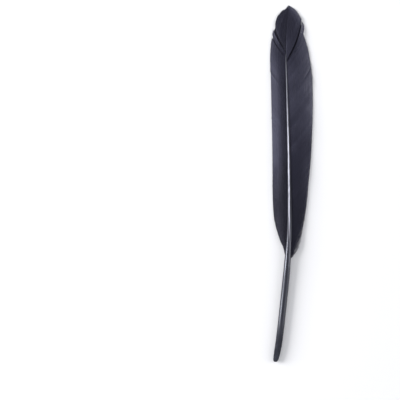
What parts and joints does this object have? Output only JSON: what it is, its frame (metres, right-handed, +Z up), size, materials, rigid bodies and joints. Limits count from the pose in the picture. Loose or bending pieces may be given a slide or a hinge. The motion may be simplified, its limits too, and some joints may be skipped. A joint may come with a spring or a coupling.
{
  "type": "goose quill feather",
  "caption": "Goose quill feather dyed black, lying upper side up: a bare quill, a pale-striped shaft, and a vane of barbs on each side that has come unzipped near the tip.",
  "frame": {"origin": "middle of the feather's box in plan, on the surface that it lies on", "axes": "+Z up out of the feather's upper side, +Y along the feather towards its tip, +X towards the broad inner vane"},
  "size_m": [0.0216, 0.1778, 0.0046],
  "materials": {
    "dyed_feather": "satin"
  },
  "bodies": {
    "root": {"feather": "dyed_feather"}
  },
  "joints": []
}
